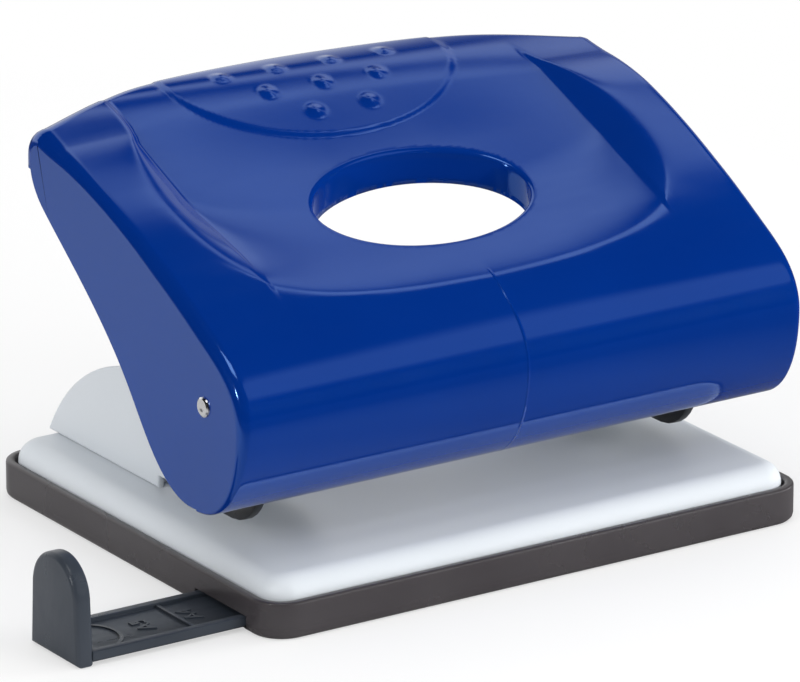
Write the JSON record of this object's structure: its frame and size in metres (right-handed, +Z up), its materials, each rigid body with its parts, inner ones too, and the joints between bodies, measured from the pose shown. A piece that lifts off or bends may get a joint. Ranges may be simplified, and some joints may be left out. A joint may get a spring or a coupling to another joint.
{
  "type": "hole punch",
  "caption": "Two-hole desk punch with an oval-windowed press handle, steel punch brackets, chip tray and pull-out paper guide.",
  "frame": {"origin": "centre of the chip tray's underside, on the desk", "axes": "+X along the handle to the user's right, +Y to the rear, +Z up from the desk"},
  "size_m": [0.1585, 0.0984, 0.0808],
  "materials": {
    "handle_plastic": "gloss moulded plastic, royal blue",
    "painted_steel": "light grey powder coat, satin",
    "tray_plastic": "smoke translucent soft plastic",
    "guide_plastic": "dark grey moulded plastic",
    "die_steel": "zinc plated hardened steel",
    "rivet_steel": "bright rivet steel",
    "spring_steel": "bright spring wire",
    "punch_steel": "ground hardened steel",
    "dark_steel": "phosphated spring steel",
    "rod_steel": "bright turned steel"
  },
  "bodies": {
    "tray": {"chip_tray": "tray_plastic"},
    "guide": {"paper_guide": "guide_plastic"},
    "base_frame": {"base_plate": "painted_steel", "left_die_plate": "die_steel", "right_die_plate": "die_steel", "left_punch_bracket": "painted_steel", "right_punch_bracket": "painted_steel", "bracket_rivets": "rivet_steel", "left_return_spring": "spring_steel", "right_return_spring": "spring_steel"},
    "handle": {"handle_shell": "handle_plastic", "pivot_rod": "rod_steel", "rod_clips": "dark_steel", "left_press_pin": "rod_steel", "right_press_pin": "rod_steel"},
    "left_punch": {"left_punch_pin": "punch_steel", "left_retaining_ring": "dark_steel", "left_spring_washer": "spring_steel"},
    "right_punch": {"right_punch_pin": "punch_steel", "right_retaining_ring": "dark_steel", "right_spring_washer": "spring_steel"}
  },
  "joints": [
    {"name": "tray_release", "type": "slide", "parent": "tray", "child": "base_frame", "axis": [0, 0, 1], "range_m": [0, 0.02]},
    {"name": "guide_slide", "type": "slide", "parent": "tray", "child": "guide", "axis": [1, 0, 0], "range_m": [-0.035, 0.028]},
    {"name": "handle_press", "type": "hinge", "parent": "base_frame", "child": "handle", "pos_m": [0, -0.031, 0.041], "axis": [-1, 0, 0], "range_deg": [0, 15], "stiffness_Nm_per_rad": 2, "springref_deg": -5.73},
    {"name": "left_punch_stroke", "type": "slide", "parent": "base_frame", "child": "left_punch", "axis": [0, 0, -1], "range_m": [0, 0.0073], "deforming": ["left_return_spring"]},
    {"name": "right_punch_stroke", "type": "slide", "parent": "base_frame", "child": "right_punch", "axis": [0, 0, -1], "range_m": [0, 0.0073], "deforming": ["right_return_spring"]}
  ],
  "couplings": [
    {"joint": "left_punch_stroke", "follows": "handle_press", "m_per_rad": 0.027},
    {"joint": "right_punch_stroke", "follows": "handle_press", "m_per_rad": 0.027}
  ]
}
